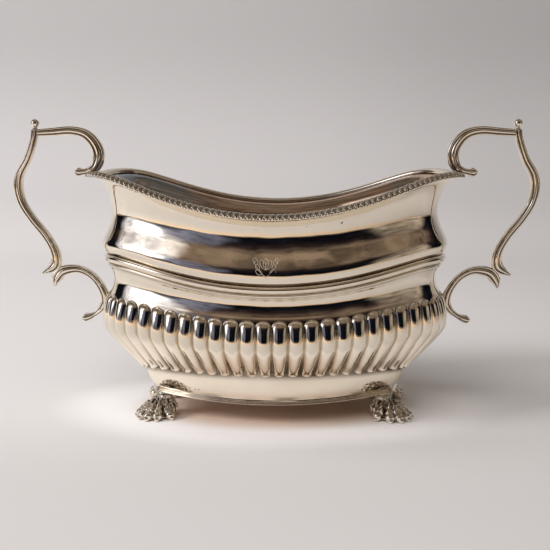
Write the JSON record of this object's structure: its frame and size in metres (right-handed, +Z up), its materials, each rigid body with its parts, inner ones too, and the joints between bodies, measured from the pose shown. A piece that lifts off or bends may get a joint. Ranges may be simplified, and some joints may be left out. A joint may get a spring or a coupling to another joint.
{
  "type": "sugar bowl",
  "caption": "Open oblong silver bowl with a saddle-shaped flared rim, gadrooned border, half-fluted belly, angular scroll side handles and paw feet",
  "frame": {"origin": "on the floor under the middle of the bowl", "axes": "+X runs along the handles, +Y runs from the front to the back across the bowl, +Z is up"},
  "size_m": [0.2196, 0.1148, 0.122],
  "materials": {
    "sheet_silver": "hand-polished sterling sheet with fine scratches, small dents and a warm tone",
    "moulding_silver": "polished drawn silver wire mouldings with tarnish along the solder lines",
    "cast_silver": "cast silver, polished on the high parts, brown-black patina in the recesses",
    "handle_silver": "cast reeded silver, polished ridges with darker channels"
  },
  "bodies": {
    "root": {"neck_shell": "sheet_silver", "belly_shell": "sheet_silver", "base_plate": "sheet_silver", "base_wire": "moulding_silver", "waist_band": "moulding_silver", "waist_fillet": "moulding_silver", "rim_border_front": "cast_silver", "rim_border_back": "cast_silver", "rim_border_left": "cast_silver", "rim_border_right": "cast_silver", "handle_scroll_left": "handle_silver", "handle_scroll_right": "handle_silver", "handle_stem_left": "handle_silver", "handle_stem_right": "handle_silver", "handle_finial_left": "handle_silver", "handle_finial_right": "handle_silver", "handle_foot_scroll_left": "handle_silver", "handle_foot_scroll_right": "handle_silver", "paw_front_left": "cast_silver", "paw_front_right": "cast_silver", "paw_back_left": "cast_silver", "paw_back_right": "cast_silver", "foot_plate_front_left": "cast_silver", "foot_plate_front_right": "cast_silver", "foot_plate_back_left": "cast_silver", "foot_plate_back_right": "cast_silver"}
  },
  "joints": []
}
